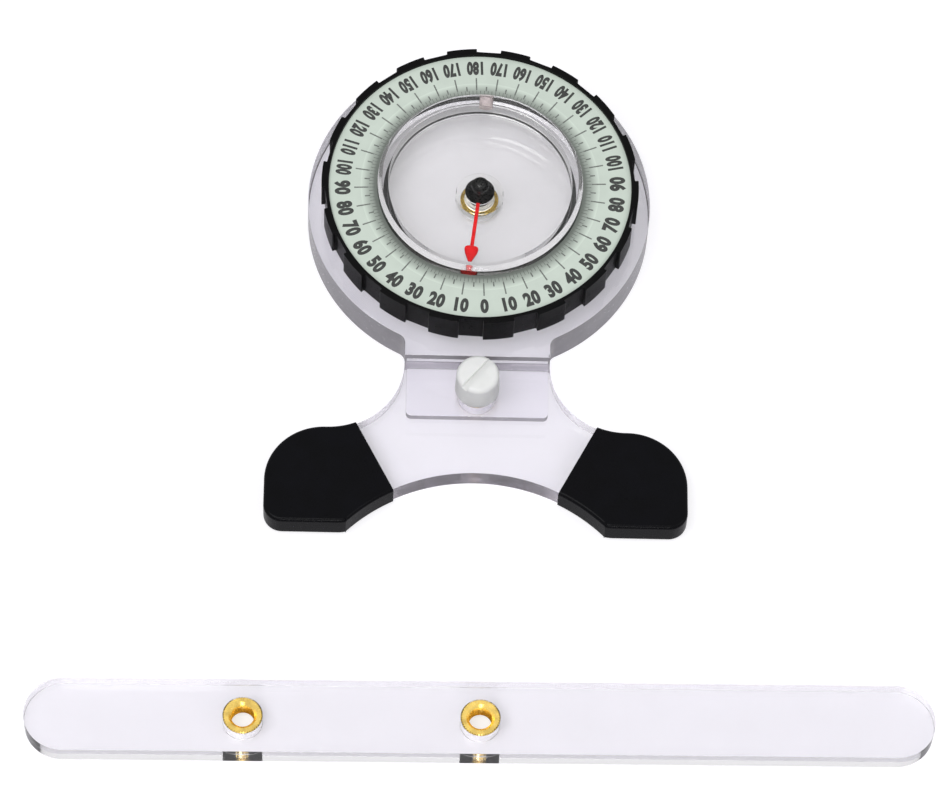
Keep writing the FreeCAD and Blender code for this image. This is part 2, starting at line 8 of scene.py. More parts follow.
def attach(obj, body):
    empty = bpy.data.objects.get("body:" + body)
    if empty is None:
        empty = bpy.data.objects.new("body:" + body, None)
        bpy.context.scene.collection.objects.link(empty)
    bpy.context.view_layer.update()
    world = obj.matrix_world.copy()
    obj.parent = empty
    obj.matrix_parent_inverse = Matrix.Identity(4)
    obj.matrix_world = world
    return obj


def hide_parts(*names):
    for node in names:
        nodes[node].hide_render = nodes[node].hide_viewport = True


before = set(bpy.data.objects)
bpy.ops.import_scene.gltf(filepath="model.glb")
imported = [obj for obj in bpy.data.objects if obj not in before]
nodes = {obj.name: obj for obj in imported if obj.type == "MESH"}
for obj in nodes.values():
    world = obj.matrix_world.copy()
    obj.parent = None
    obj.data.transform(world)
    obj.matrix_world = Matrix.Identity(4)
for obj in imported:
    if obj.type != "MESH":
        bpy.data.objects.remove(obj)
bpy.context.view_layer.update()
mm = 0.001      # every size below is in millimetres
print("frame loaded:", len(nodes), "nodes")


# Bench tools: each one does what a few key presses do in the viewport.
def clearSelection():
    if bpy.context.mode != "OBJECT":
        bpy.ops.object.mode_set(mode="OBJECT")
    bpy.ops.object.select_all(action="DESELECT")


def makeActive(piece):
    clearSelection()
    piece.select_set(True)
    bpy.context.view_layer.objects.active = piece


def editPiece(piece):
    makeActive(piece)
    bpy.ops.object.mode_set(mode="EDIT")


# Selects the vertices, edges or faces of the piece in edit mode that pass a test.
def pick(piece, kind, test):
    bpy.ops.mesh.select_mode(type=kind)
    bpy.ops.mesh.select_all(action="DESELECT")
    mesh = bmesh.from_edit_mesh(piece.data)
    for part in {"VERT": mesh.verts, "EDGE": mesh.edges, "FACE": mesh.faces}[kind]:
        if test(part):
            part.select_set(True)
    bmesh.update_edit_mesh(piece.data)


def near(a, b, reach=0.02):
    return abs(a - b) < reach * mm


def isUpright(edge):
    a, b = edge.verts
    return near(a.co.x, b.co.x) and near(a.co.y, b.co.y) and not near(a.co.z, b.co.z)


def turnNormalsOut():
    bpy.ops.mesh.select_all(action="SELECT")
    bpy.ops.mesh.normals_make_consistent(inside=False)
    bpy.ops.object.mode_set(mode="OBJECT")


def applyPlace():
    bpy.ops.object.transform_apply(location=True, rotation=True, scale=True)


# A circle, extruded and resized from ring to ring of (radius, height) about the dial's axis.
def growRings(name, rings, steps, fill):
    clearSelection()
    radius, height = rings[0]
    place = (0, 0, height * mm)
    bpy.ops.mesh.primitive_circle_add(vertices=steps, radius=radius * mm, fill_type=fill, location=place)
    piece = bpy.context.object
    piece.name = name
    bpy.ops.object.mode_set(mode="EDIT")
    bpy.ops.mesh.select_all(action="SELECT")
    for newRadius, newHeight in rings[1:]:
        lift = (0, 0, (newHeight - height) * mm)
        bpy.ops.mesh.extrude_region_move(TRANSFORM_OT_translate={"value": lift})
        grow = newRadius / radius
        bpy.ops.transform.resize(value=(grow, grow, 1), center_override=(0, 0, 0))
        radius, height = newRadius, newHeight
    turnNormalsOut()
    applyPlace()
    return piece


def turnSolid(name, rings, steps):
    return growRings(name, rings, steps, "NGON")


# A turned ring: an open circle taken round its section, whose last ring is bridged to the first.
def turnRing(name, rings, steps):
    piece = growRings(name, rings, steps, "NOTHING")
    editPiece(piece)
    pick(piece, "EDGE", lambda edge: edge.is_boundary)
    bpy.ops.mesh.bridge_edge_loops()
    turnNormalsOut()
    return piece


def addBox(name, low, high):
    clearSelection()
    middle = [(a + b) / 2 * mm for a, b in zip(low, high)]
    size = [(b - a) * mm for a, b in zip(low, high)]
    bpy.ops.mesh.primitive_cube_add(size=1, location=middle, scale=size)
    piece = bpy.context.object
    piece.name = name
    applyPlace()
    return piece


def addDrill(centre, radius, low, high, steps):
    clearSelection()
    place = (centre[0] * mm, centre[1] * mm, (low + high) / 2 * mm)
    depth = (high - low) * mm
    bpy.ops.mesh.primitive_cylinder_add(vertices=steps, radius=radius * mm, depth=depth, location=place)
    drill = bpy.context.object
    applyPlace()
    return drill


# The points of an arc from one angle to another, in degrees.
def arcPoints(centre, radius, start, end, steps):
    points = []
    for step in range(steps + 1):
        angle = math.radians(start + (end - start) * step / steps)
        points.append((centre[0] + radius * math.cos(angle), centre[1] + radius * math.sin(angle)))
    return points


def angleOf(centre, point):
    return math.degrees(math.atan2(point[1] - centre[1], point[0] - centre[0]))


def mirrorPoints(points):
    return [(-x, y) for x, y in reversed(points)]


# An upright solid on a flat outline: a vertex extruded along the outline, filled and raised.
def raiseOutline(name, points, low, high):
    clearSelection()
    bpy.ops.mesh.primitive_plane_add(size=mm, location=(points[0][0] * mm, points[0][1] * mm, low * mm))
    piece = bpy.context.object
    piece.name = name
    applyPlace()
    bpy.ops.object.mode_set(mode="EDIT")
    bpy.ops.mesh.select_mode(type="VERT")
    bpy.ops.mesh.select_all(action="SELECT")
    bpy.ops.mesh.merge(type="CENTER")
    for (x, y), (nextX, nextY) in zip(points, points[1:]):
        step = ((nextX - x) * mm, (nextY - y) * mm, 0)
        bpy.ops.mesh.extrude_region_move(TRANSFORM_OT_translate={"value": step})
    bpy.ops.mesh.select_all(action="SELECT")
    bpy.ops.mesh.edge_face_add()
    bpy.ops.mesh.extrude_region_move(TRANSFORM_OT_translate={"value": (0, 0, (high - low) * mm)})
    turnNormalsOut()
    return piece


# Rounds the upright edges that stand at the given (x, y) places.
def roundCorners(piece, places, radius, segments):
    def isCorner(edge):
        foot = edge.verts[0].co
        atPlace = any(near(foot.x, x * mm, 0.05) and near(foot.y, y * mm, 0.05) for x, y in places)
        return isUpright(edge) and atPlace

    editPiece(piece)
    pick(piece, "EDGE", isCorner)
    bpy.ops.mesh.bevel(offset=radius * mm, offset_type="OFFSET", segments=segments, affect="EDGES")
    bpy.ops.object.mode_set(mode="OBJECT")


# Cuts the tool out of the piece, or adds it, and clears the tool away.
def combine(piece, tool, operation="DIFFERENCE"):
    makeActive(piece)
    change = piece.modifiers.new("combine", "BOOLEAN")
    change.operation = operation
    change.solver = "EXACT"
    change.object = tool
    bpy.ops.object.modifier_apply(modifier=change.name)
    bpy.data.objects.remove(tool, do_unlink=True)


# Small rounded edges all over, and shading that keeps the flats flat.
def softenEdges(piece, width, segments=3, angle=40):
    makeActive(piece)
    if width:
        bevel = piece.modifiers.new("edges", "BEVEL")
        bevel.width = width * mm
        bevel.segments = segments
        bevel.limit_method = "ANGLE"
        bevel.angle_limit = math.radians(angle)
        bevel.use_clamp_overlap = True
        bpy.ops.object.modifier_apply(modifier=bevel.name)
    bpy.ops.object.shade_smooth_by_angle(angle=math.radians(50))
    weigh = piece.modifiers.new("normals", "WEIGHTED_NORMAL")
    weigh.keep_sharp = True
    bpy.ops.object.modifier_apply(modifier=weigh.name)


def placePiece(piece, x=0, y=0, z=0, turn=0):
    makeActive(piece)
    piece.location = (x * mm, y * mm, z * mm)
    piece.rotation_euler = (0, 0, math.radians(turn))
    applyPlace()


def copyPiece(piece, name):
    copy = piece.copy()
    copy.data = piece.data.copy()
    copy.name = name
    bpy.context.scene.collection.objects.link(copy)
    return copy


def joinPieces(pieces, name):
    makeActive(pieces[0])
    for piece in pieces:
        piece.select_set(True)
    bpy.ops.object.join()
    joined = bpy.context.object
    joined.name = name
    return joined


# Gives a finished piece its material and its body, and hides the CAD nodes that it stands in for.
def handOver(piece, material, slot, body, *stoodFor):
    piece.data.materials.clear()
    piece.data.materials.append(material)
    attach(piece, body)
    if stoodFor:
        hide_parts(*stoodFor)


# Adds a second material to the faces that pass a test.
def paintFaces(piece, material, test):
    piece.data.materials.append(material)
    number = len(piece.data.materials) - 1
    for face in piece.data.polygons:
        if test(face):
            face.material_index = number


# Nodes: a kind, its settings and the values of its sockets.
def addNode(tree, kind, sockets=None, **settings):
    node = tree.nodes.new(kind)
    for name, value in settings.items():
        setattr(node, name, value)
    for name, value in (sockets or {}).items():
        node.inputs[name].default_value = value
    return node


def newMaterial(name):
    material = bpy.data.materials.new(name)
    material.use_nodes = True
    tree = material.node_tree
    tree.nodes.clear()
    output = addNode(tree, "ShaderNodeOutputMaterial")
    shader = addNode(tree, "ShaderNodeBsdfPrincipled")
    tree.links.new(shader.outputs["BSDF"], output.inputs["Surface"])
    return material, tree, shader


def tinted(color, share):
    return (*[min(c * share, 1) for c in color[:3]], 1)


# Noise on object coordinates, in spots of the given size in millimetres.
def addNoise(tree, spot, detail, stretch=(1, 1, 1)):
    place = addNode(tree, "ShaderNodeTexCoord")
    mapping = addNode(tree, "ShaderNodeMapping", {"Scale": stretch})
    noise = addNode(tree, "ShaderNodeTexNoise", {"Scale": 1 / (spot * mm), "Detail": detail})
    tree.links.new(place.outputs["Object"], mapping.inputs["Vector"])
    tree.links.new(mapping.outputs["Vector"], noise.inputs["Vector"])
    return noise


# Colour that varies between two tones over spots, roughness and bump from finer grain.
def addFinish(tree, shader, look):
    blotch = addNoise(tree, look["spot"], 4)
    ramp = addNode(tree, "ShaderNodeValToRGB")
    ramp.color_ramp.elements[0].position = 0.35
    ramp.color_ramp.elements[1].position = 0.68
    ramp.color_ramp.elements[0].color = tinted(look["color"], 1 - look["vary"])
    ramp.color_ramp.elements[1].color = tinted(look["color"], 1 + look["vary"])
    tree.links.new(blotch.outputs["Fac"], ramp.inputs["Fac"])
    tree.links.new(ramp.outputs["Color"], shader.inputs["Base Color"])
    grain = addNoise(tree, look["grain"], 5, look.get("stretch", (1, 1, 1)))
    rough = addNode(tree, "ShaderNodeMapRange", {"From Min": 0.3, "From Max": 0.7,
                                                 "To Min": look["rough"][0], "To Max": look["rough"][1]})
    tree.links.new(grain.outputs["Fac"], rough.inputs["Value"])
    tree.links.new(rough.outputs["Result"], shader.inputs["Roughness"])
    bump = addNode(tree, "ShaderNodeBump", {"Strength": look["bump"], "Distance": look["grain"] * mm * 0.1})
    tree.links.new(grain.outputs["Fac"], bump.inputs["Height"])
    tree.links.new(bump.outputs["Normal"], shader.inputs["Normal"])
    return ramp


def makeOpaque(name, look):
    material, tree, shader = newMaterial(name)
    addFinish(tree, shader, look)
    for socket, value in look.get("sockets", {}).items():
        shader.inputs[socket].default_value = value
    return material


# Clear plastic. Lamps shine through it on shadow rays, so that it does not darken the floor.
def makeClear(name, look):
    material, tree, shader = newMaterial(name)
    addFinish(tree, shader, look)
    shader.inputs["Transmission Weight"].default_value = look.get("clear", 1)
    shader.inputs["IOR"].default_value = look["ior"]
    gloss = look.get("gloss", 1)
    shader.inputs["Specular Tint"].default_value = (gloss, gloss, gloss, 1)
    output = next(node for node in tree.nodes if node.type == "OUTPUT_MATERIAL")
    path = addNode(tree, "ShaderNodeLightPath")
    through = addNode(tree, "ShaderNodeBsdfTransparent", {"Color": look["through"]})
    mix = addNode(tree, "ShaderNodeMixShader")
    tree.links.new(path.outputs["Is Shadow Ray"], mix.inputs["Fac"])
    tree.links.new(shader.outputs["BSDF"], mix.inputs[1])
    tree.links.new(through.outputs["BSDF"], mix.inputs[2])
    tree.links.new(mix.outputs["Shader"], output.inputs["Surface"])
    return material


acrylicLook = {"color": (0.965, 0.957, 0.985), "vary": 0.008, "spot": 9, "grain": 1.2, "rough": (0.0, 0.03),
               "bump": 0.02, "ior": 1.49, "through": (0.99, 0.985, 0.995, 1)}
# Painted shade: the bar's acrylic is a darker copy of the plate's, toning the unshadowed bar down to the
# plate's level.
barShadedLook = dict(acrylicLook, color=(0.932, 0.925, 0.947), gloss=0.6)
sawnLook = {"color": (0.6, 0.56, 0.62), "vary": 0.25, "spot": 3.2, "grain": 0.7, "rough": (0.08, 0.25),
            "bump": 0.25, "ior": 1.49, "clear": 0.7, "through": (0.8, 0.78, 0.88, 1)}
# Painted shadow: the head's lower bevel is made dark, as the contact shadow under the disc.
edgeShadowLook = {"color": (0.1, 0.09, 0.1), "vary": 0.3, "spot": 6, "grain": 0.7, "rough": (0.2, 0.4),
            "bump": 0.1, "ior": 1.49, "clear": 0.3, "through": (0.8, 0.78, 0.88, 1)}
turnedLook = {"color": (0.58, 0.56, 0.6), "vary": 0.07, "spot": 5, "grain": 0.9, "rough": (0.1, 0.28),
              "bump": 0.06, "ior": 1.49, "clear": 0.45, "through": (0.8, 0.78, 0.88, 1), "stretch": (1, 1, 6)}
capsuleLook = {"color": (0.99, 0.992, 0.98), "vary": 0.006, "spot": 7, "grain": 1.5, "rough": (0.0, 0.01),
               "bump": 0.003, "ior": 1.49, "through": (0.99, 0.99, 0.99, 1), "gloss": 0.3}
wettedLook = dict(capsuleLook, ior=1.042)
greasedLook = dict(capsuleLook, ior=1.003)
# Painted highlight: the capsule's rim chamfer is made pale and partly opaque, so that it shows as a bright
# ring.
rimHighlightLook = dict(capsuleLook, color=(0.95, 0.95, 0.94), rough=(0.03, 0.08), bump=0.02, clear=0.8)
# Painted shade: the capsule's outer side wall is tinted near-black.
darkWallShadeLook = dict(capsuleLook, color=(0.06, 0.058, 0.062), rough=(0.0, 0.02), vary=0.1)
seamLook = {"color": (0.045, 0.045, 0.047), "vary": 0.2, "spot": 2, "grain": 0.4, "rough": (0.4, 0.6),
            "bump": 0.1}
brassLook = {"color": (0.86, 0.6, 0.16), "vary": 0.2, "spot": 1.6, "grain": 0.25, "rough": (0.16, 0.34),
             "bump": 0.2, "sockets": {"Metallic": 1.0}}
blackLook = {"color": (0.0025, 0.0025, 0.0028), "vary": 0.25, "spot": 3, "grain": 0.3, "rough": (0.25, 0.4),
             "bump": 0.2, "sockets": {"Specular IOR Level": 0.07}}
vinylLook = {"color": (0.0012, 0.0012, 0.0024), "vary": 0.3, "spot": 4, "grain": 0.6, "rough": (0.18, 0.34),
             "bump": 0.3, "sockets": {"Specular IOR Level": 0.08}}
# Painted highlight: the washer's top flat is a pale, nearly white metal rather than brass.
washerHighlightLook = {"color": (0.92, 0.87, 0.82), "vary": 0.06, "spot": 1.6, "grain": 0.2, "rough": (0.3, 0.45),
              "bump": 0.1, "sockets": {"Metallic": 1.0}}
hubLook = dict(blackLook, rough=(0.2, 0.32), sockets={"Specular IOR Level": 0.25})
cardLook = {"color": (0.68, 0.77, 0.68), "vary": 0.025, "spot": 3, "grain": 0.25, "rough": (0.5, 0.7),
            "bump": 0.08}
inkLook = {"color": (0.035, 0.038, 0.035), "vary": 0.3, "spot": 0.4, "grain": 0.2, "rough": (0.45, 0.65),
           "bump": 0.05}
tickLook = dict(inkLook, color=(0.16, 0.175, 0.16))
nylonLook = {"color": (0.82, 0.83, 0.815), "vary": 0.03, "spot": 3, "grain": 0.35, "rough": (0.35, 0.55),
             "bump": 0.15, "sockets": {"Subsurface Weight": 0.7, "Subsurface Scale": 0.0016,
                                       "Subsurface Radius": (1, 1, 0.95)}}
redLook = {"color": (0.74, 0.002, 0.004), "vary": 0.1, "spot": 1.2, "grain": 0.3, "rough": (0.25, 0.4),
           "bump": 0.1, "sockets": {"Specular IOR Level": 0.2}}
steelLook = {"color": (0.6, 0.6, 0.62), "vary": 0.06, "spot": 1, "grain": 0.2, "rough": (0.15, 0.3),
             "bump": 0.1, "sockets": {"Metallic": 1.0}}
jewelLook = {"color": (0.4, 0.02, 0.05), "vary": 0.15, "spot": 0.8, "grain": 0.3, "rough": (0.05, 0.12),
             "bump": 0.05}
plugLook = {"color": (0.55, 0.47, 0.48), "vary": 0.12, "spot": 0.9, "grain": 0.3, "rough": (0.35, 0.5),
            "bump": 0.15}
rubberLook = {"color": (0.8, 0.77, 0.73), "vary": 0.05, "spot": 1, "grain": 0.3, "rough": (0.4, 0.6),
              "bump": 0.1}

clearAcrylic = makeClear("clear acrylic", acrylicLook)
barPaintedShade = makeClear("clear bar acrylic darkened as painted shade", barShadedLook)
sawnAcrylic = makeClear("sawn acrylic edge", sawnLook)
clearCapsule = makeClear("clear capsule", capsuleLook)
wettedCapsule = makeClear("capsule wall behind the liquid", wettedLook)
turnedAcrylic = makeClear("turned acrylic edge", turnedLook)
rimPaintedHighlight = makeClear("capsule rim painted as a highlight", rimHighlightLook)
wallPaintedShade = makeClear("capsule side wall painted dark as shade", darkWallShadeLook)
greased = makeClear("greased bearing face", greasedLook)
paintedEdgeShadow = makeClear("painted shadow on the lower edge", edgeShadowLook)
seam = makeOpaque("bonded seam", seamLook)
pivotBlack = makeOpaque("glossy black hub", hubLook)
brass = makeOpaque("turned brass", brassLook)
washerTopPaintedHighlight = makeOpaque("washer top painted pale as a highlight", washerHighlightLook)
blackPlastic = makeOpaque("black moulded plastic", blackLook)
vinyl = makeOpaque("dipped black vinyl", vinylLook)
dialCard = makeOpaque("pale green dial card", cardLook)


# Painted shadow: the card is darkened round its inner edge, where the capsule wall shades it, and lightens out
# by the ten-degree marks: (radius, tone).
capsuleShadowStops = [(19.4, 0.22), (20.0, 0.27), (20.5, 0.45), (21.0, 0.53), (21.4, 0.56), (21.75, 0.7),
             (22.1, 0.89), (22.6, 1)]


def shadeInnerBand(material, stops):
    tree = material.node_tree
    shader = next(node for node in tree.nodes if node.type == "BSDF_PRINCIPLED")
    color = shader.inputs["Base Color"].links[0].from_socket
    place = addNode(tree, "ShaderNodeTexCoord")
    flat = addNode(tree, "ShaderNodeVectorMath", operation="MULTIPLY")
    flat.inputs[1].default_value = (1, 1, 0)
    reach = addNode(tree, "ShaderNodeVectorMath", operation="LENGTH")
    inner, outer = stops[0][0], stops[-1][0]
    share = addNode(tree, "ShaderNodeMapRange", {"From Min": inner * mm, "From Max": outer * mm})
    ramp = addNode(tree, "ShaderNodeValToRGB")
    elements = ramp.color_ramp.elements
    for number, (radius, tone) in enumerate(stops):
        stop = elements[number] if number < 2 else elements.new(0.5)
        stop.position = (radius - inner) / (outer - inner)
        stop.color = (tone, tone, tone, 1)
    shade = addNode(tree, "ShaderNodeMix", {"Factor": 1}, data_type="RGBA", blend_type="MULTIPLY")
    tree.links.new(place.outputs["Object"], flat.inputs[0])
    tree.links.new(flat.outputs["Vector"], reach.inputs[0])
    tree.links.new(reach.outputs["Value"], share.inputs["Value"])
    tree.links.new(share.outputs["Result"], ramp.inputs["Fac"])
    tree.links.new(color, shade.inputs[6])
    tree.links.new(ramp.outputs["Color"], shade.inputs[7])
    tree.links.new(shade.outputs[2], shader.inputs["Base Color"])


# Paints the capsule wall's shadow into the dial card's colour.
shadeInnerBand(dialCard, capsuleShadowStops)
ink = makeOpaque("dial ink", inkLook)
tickInk = makeOpaque("thin dial ink", tickLook)
nylon = makeOpaque("white nylon", nylonLook)
redPaint = makeOpaque("red needle paint", redLook)
steel = makeOpaque("ground steel", steelLook)
jewel = makeOpaque("red bearing jewel", jewelLook)
plugPlastic = makeOpaque("fill plug plastic", plugLook)
sealRubber = makeOpaque("milky seal rubber", rubberLook)
print("materials made")


def isWall(face):
    return abs(face.normal.z) < 0.5


# Clear head: a disc with its stepped socket, the square neck and the thin tongue over the foot plate.
headSizes = {"radius": 32.5, "thick": 7.8, "neckHalf": 13.6, "neckFront": -33.3, "neckFillet": 2.0,
             "tongueHalf": 13.25, "tongueEnd": -45.3, "tongue": (4.75, 6.25), "tongueCorner": 1.0,
             "socket": (3.63, 0.9), "bossSeat": (4.53, 4.5), "screwHole": (-39.3, 2.65), "edge": 0.28,
             "turnedFrom": 30, "seatSlack": 0.1, "seatEdge": 0.3}


def makeHead(s):
    fillet = s["neckFillet"]
    filletX = s["neckHalf"] + fillet
    filletY = -math.sqrt((s["radius"] + fillet) ** 2 - filletX ** 2)
    meeting = angleOf((0, 0), (filletX, filletY))
    right = [(s["neckHalf"], s["neckFront"])]
    right += arcPoints((filletX, filletY), fillet, 180, meeting + 180, 8)
    right += arcPoints((0, 0), s["radius"], meeting, 90, 128)[1:]
    head = raiseOutline("clearHead", mirrorPoints(right)[1:] + right[:-1], 0, s["thick"])
    for radius, low in (s["socket"], s["bossSeat"]):
        combine(head, addDrill((0, 0), radius, low, s["thick"] + 1, 96))
    low, high = s["tongue"]
    half, end = s["tongueHalf"], s["tongueEnd"]
    tongue = addBox("tongue", (-half, end, low), (half, s["neckFront"] + 1, high))
    roundCorners(tongue, [(-half, end), (half, end)], s["tongueCorner"], 8)
    combine(head, tongue, "UNION")
    holeY, holeRadius = s["screwHole"]
    combine(head, addDrill((0, holeY), holeRadius, low - 1, high + 1, 64))
    softenEdges(head, s["edge"])
    handOver(head, clearAcrylic, "clear_acrylic", "head", "head_body")

    def isOuterWall(face):
        return isWall(face) and face.center.to_2d().length > s["turnedFrom"] * mm

    def isLowerBevel(face):
        return -0.97 < face.normal.z < -0.1 and face.center.z < s["edge"] * mm

    def isSeat(face):
        radius, low = s["bossSeat"]
        inside = face.center.to_2d().length < (radius + s["seatSlack"]) * mm
        return inside and low - s["seatSlack"] < face.center.z / mm < s["thick"] - s["seatEdge"]

    paintFaces(head, turnedAcrylic, isOuterWall)
    # Painted shadow along the head's lower bevel.
    paintFaces(head, paintedEdgeShadow, isLowerBevel)
    paintFaces(head, greased, isSeat)


makeHead(headSizes)
print("head made")


# Foot plate and its boots share one outline, drawn from the waist round to the arch.
footSizes = {"neckFront": -33.3, "waistX": 27.9, "waist": 13.9, "wall": 0.4, "shoulderX": 28.15,
             "shoulderY": -58.3, "shoulder": 11.1, "heelX": 35.75, "heelY": -63.6, "heel": 3.5,
             "archY": -89.9, "arch": 33.2, "bottom": -67.1, "plate": (0.45, 4.75), "boot": (0, 5.2),
             "edge": 0.22, "bootEdge": 0.7, "toe": 1.6, "mouthTop": (22.6, -46.15),
             "mouthLow": (15.23, -60.4), "insertHole": (-39.3, 3.63), "slack": 0.03}


# The right half from the waist to the toe and up the arch, inset from the boot's outer wall.
def footPoints(s, inset, waistFrom, archTo):
    waistCentre = (s["waistX"], s["neckFront"])
    arch = s["arch"] + inset
    toeY = s["bottom"] + inset
    toeX = math.sqrt(arch ** 2 - (s["archY"] - toeY) ** 2)
    toeAngle = angleOf((0, s["archY"]), (toeX, toeY))
    points = arcPoints(waistCentre, s["waist"] + inset, waistFrom, 270, 32)
    points += arcPoints((s["shoulderX"], s["shoulderY"]), s["shoulder"] - inset, 90, 0, 28)
    points += arcPoints((s["heelX"], s["heelY"]), s["heel"] - inset, 0, -90, 14)
    points += arcPoints((0, s["archY"]), arch, toeAngle, archTo, 32)
    return points, toeX


def makePlateShape(name, s, inset, low, high):
    right, toeX = footPoints(s, inset, 180, 90)
    return raiseOutline(name, right[:-1] + mirrorPoints(right), low, high)


def makeFootPlate(s):
    low, high = s["plate"]
    plate = makePlateShape("clearFootPlate", s, s["wall"], low, high)
    holeY, holeRadius = s["insertHole"]
    combine(plate, addDrill((0, holeY), holeRadius, low - 1, high + 1, 96))
    softenEdges(plate, s["edge"])
    handOver(plate, clearAcrylic, "clear_acrylic", "head", "foot_plate")
    paintFaces(plate, sawnAcrylic, isWall)


def makeBoots(s):
    low, high = s["boot"]
    waistFrom = angleOf((s["waistX"], s["neckFront"]), s["mouthTop"]) + 360
    archTo = angleOf((0, s["archY"]), s["mouthLow"])
    points, toeX = footPoints(s, 0, waistFrom, archTo)
    boot = raiseOutline("rightBoot", points, low, high)
    roundCorners(boot, [(toeX, s["bottom"])], s["toe"], 8)
    editPiece(boot)
    mouth = Vector((*points[-1], 0)) * mm
    along = Vector((points[0][0] - points[-1][0], points[0][1] - points[-1][1], 0)).normalized()
    across = Vector((along.y, -along.x, 0))

    def isOuterEdge(edge):
        flat = any(all(near(vert.co.z, level * mm) for vert in edge.verts) for level in (low, high))
        atMouth = all(near((vert.co - mouth).dot(across), 0, 0.05) for vert in edge.verts)
        return flat and not atMouth

    pick(boot, "EDGE", isOuterEdge)
    bpy.ops.mesh.bevel(offset=s["bootEdge"] * mm, segments=5, affect="EDGES")
    bpy.ops.object.mode_set(mode="OBJECT")
    plateLow, plateHigh = s["plate"]
    slack = s["slack"]
    core = makePlateShape("core", s, s["wall"] - slack, plateLow - slack, plateHigh + slack)
    combine(boot, core)
    leftBoot = copyPiece(boot, "leftBoot")
    makeActive(leftBoot)
    leftBoot.scale = (-1, 1, 1)
    applyPlace()
    editPiece(leftBoot)
    turnNormalsOut()
    softenEdges(boot, 0)
    softenEdges(leftBoot, 0)
    handOver(boot, vinyl, "boot_vinyl", "head", "right_boot")
    handOver(leftBoot, vinyl, "boot_vinyl", "head", "left_boot")


makeFootPlate(footSizes)
makeBoots(footSizes)
print("foot made")


# Straight bar with round ends, bored for its two inserts.
barSizes = {"length": 165.1, "width": 14.3, "thick": 4.3, "place": (1.26, -105.67), "turn": 0.65,
            "inserts": (0, -43), "insertLow": 0.15, "hole": 3.63, "edge": 0.22}


def makeBar(s):
    half = s["length"] / 2
    wide = s["width"] / 2
    ends = arcPoints((half - wide, 0), wide, -90, 90, 48) + arcPoints((wide - half, 0), wide, 90, 270, 48)
    bar = raiseOutline("clearBar", ends, 0, s["thick"])
    for x in s["inserts"]:
        combine(bar, addDrill((x, 0), s["hole"], -1, s["thick"] + 1, 96))
    softenEdges(bar, s["edge"])
    placePiece(bar, *s["place"], turn=s["turn"])
    # The bar takes the darker acrylic, as painted shade.
    handOver(bar, barPaintedShade, "clear_acrylic", "bar", "straight_bar")


makeBar(barSizes)
print("bar made")


# Brass inserts: two knurled bands with a waist between, and a threaded bore.
insertSizes = {"radius": 3.6, "waist": 3.3, "waistWidth": 1.1, "waistSlope": 0.1, "bore": 2.1, "root": 2.42,
               "pitch": 0.8, "lead": 0.5, "bevel": 0.25, "teeth": 44, "toothDepth": 0.14, "gapShare": 0.13,
               "length": 4.3, "headLength": 3.6}


def makeInsert(name, s, length, place, body, node):
    radius, bevel, waist, slope = s["radius"], s["bevel"], s["waist"], s["waistSlope"]
    mouth = s["bore"] + s["lead"]
    low = (length - s["waistWidth"]) / 2
    high = low + s["waistWidth"]
    rings = [(mouth, 0), (radius - bevel, 0), (radius, bevel), (radius, low), (waist, low + slope),
             (waist, high - slope), (radius, high), (radius, length - bevel), (radius - bevel, length),
             (mouth, length)]
    height = length - s["lead"]
    rings.append((s["bore"], height))
    while height - s["pitch"] > s["lead"]:
        rings.append((s["root"], height - s["pitch"] / 2))
        height -= s["pitch"]
        rings.append((s["bore"], height))
    insert = turnRing(name, rings, steps=s["teeth"] * 4)
    editPiece(insert)

    def isToothGap(vert):
        angle = math.atan2(vert.co.y, vert.co.x) / math.tau * s["teeth"]
        outside = near(vert.co.to_2d().length, radius * mm, 0.05)
        return outside and abs(angle - round(angle)) < s["gapShare"]

    pick(insert, "VERT", isToothGap)
    shrink = 1 - s["toothDepth"] / radius
    bpy.ops.transform.resize(value=(shrink, shrink, 1), center_override=(0, 0, 0))
    bpy.ops.object.mode_set(mode="OBJECT")
    makeActive(insert)
    bpy.ops.object.shade_smooth_by_angle(angle=math.radians(25))
    placePiece(insert, *place)
    handOver(insert, brass, "brass", body, node)


barX, barY = barSizes["place"]
barTurn = math.radians(barSizes["turn"])
aside = barSizes["inserts"][1]
middlePlace = (barX, barY, barSizes["insertLow"])
sidePlace = (barX + aside * math.cos(barTurn), barY + aside * math.sin(barTurn), barSizes["insertLow"])
headPlace = (0, 0, headSizes["socket"][1])
footPlace = (0, footSizes["insertHole"][0], footSizes["plate"][0])
makeInsert("headInsert", insertSizes, insertSizes["headLength"], headPlace, "head", "head_insert")
makeInsert("footInsert", insertSizes, insertSizes["length"], footPlace, "head", "foot_insert")
makeInsert("barMiddleInsert", insertSizes, insertSizes["length"], middlePlace, "bar", "bar_middle_insert")
makeInsert("barSideInsert", insertSizes, insertSizes["length"], sidePlace, "bar", "bar_side_insert")
print("inserts made")


# White nylon clamp screw: a tall head with a slot, and its threaded shank.
screwSizes = {"head": 4.15, "top": 4.0, "height": 6.0, "shank": 2.05, "root": 1.72, "length": 5.4,
              "pitch": 0.8, "slotHalf": 0.575, "slotReach": 6, "slotDepth": 0.85, "slotTurn": 50, "edge": 0.9,
              "lead": (0.1, 0.15, 0.4), "lowEdge": 0.15, "soft": 0.12, "place": (0, -39.3, 6.25)}


